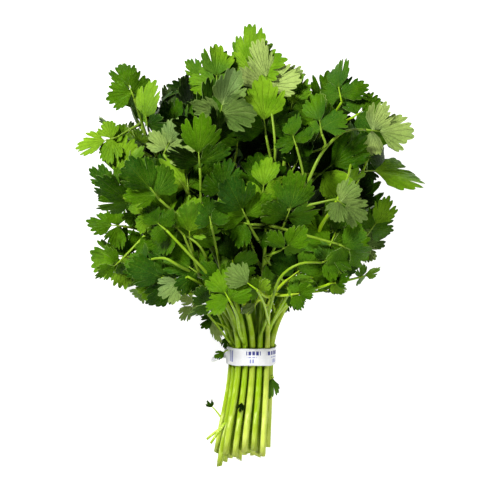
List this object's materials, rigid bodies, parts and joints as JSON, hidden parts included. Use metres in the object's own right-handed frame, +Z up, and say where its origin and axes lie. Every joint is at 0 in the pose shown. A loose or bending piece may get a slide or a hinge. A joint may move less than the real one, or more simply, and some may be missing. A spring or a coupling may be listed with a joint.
{
  "type": "parsley bunch",
  "caption": "Bunch of flat-leaf parsley lying down: leafy stems with lobed, toothed leaflets, gathered in a flat twist tie above their cut ends.",
  "frame": {"origin": "on the surface that the bunch lies on, under the middle of its bounding box", "axes": "+Z up from the surface; +Y along the stems, from the cut ends to the leaves; +X across the bunch, to the right when it is seen from above with the leaves at the top"},
  "size_m": [0.2416, 0.3146, 0.138],
  "materials": {
    "leafy_stem": "fresh green leaf with a soft waxy gloss, paler and matter underneath, on smooth yellow-green stems",
    "tie_paper": null
  },
  "bodies": {
    "root": {"leafy_stem_01": "leafy_stem", "leafy_stem_02": "leafy_stem", "leafy_stem_03": "leafy_stem", "leafy_stem_04": "leafy_stem", "leafy_stem_05": "leafy_stem", "leafy_stem_06": "leafy_stem", "leafy_stem_07": "leafy_stem", "leafy_stem_08": "leafy_stem", "leafy_stem_09": "leafy_stem", "leafy_stem_10": "leafy_stem", "leafy_stem_11": "leafy_stem", "leafy_stem_12": "leafy_stem", "leafy_stem_13": "leafy_stem", "leafy_stem_14": "leafy_stem", "leafy_stem_15": "leafy_stem", "leafy_stem_16": "leafy_stem", "leafy_stem_17": "leafy_stem", "leafy_stem_18": "leafy_stem", "leafy_stem_19": "leafy_stem", "leafy_stem_20": "leafy_stem", "leafy_stem_21": "leafy_stem", "leafy_stem_22": "leafy_stem", "leafy_stem_23": "leafy_stem", "leafy_stem_24": "leafy_stem", "leafy_stem_25": "leafy_stem", "leafy_stem_26": "leafy_stem", "leafy_stem_27": "leafy_stem", "leafy_stem_28": "leafy_stem", "twist_tie": "tie_paper"}
  },
  "joints": []
}
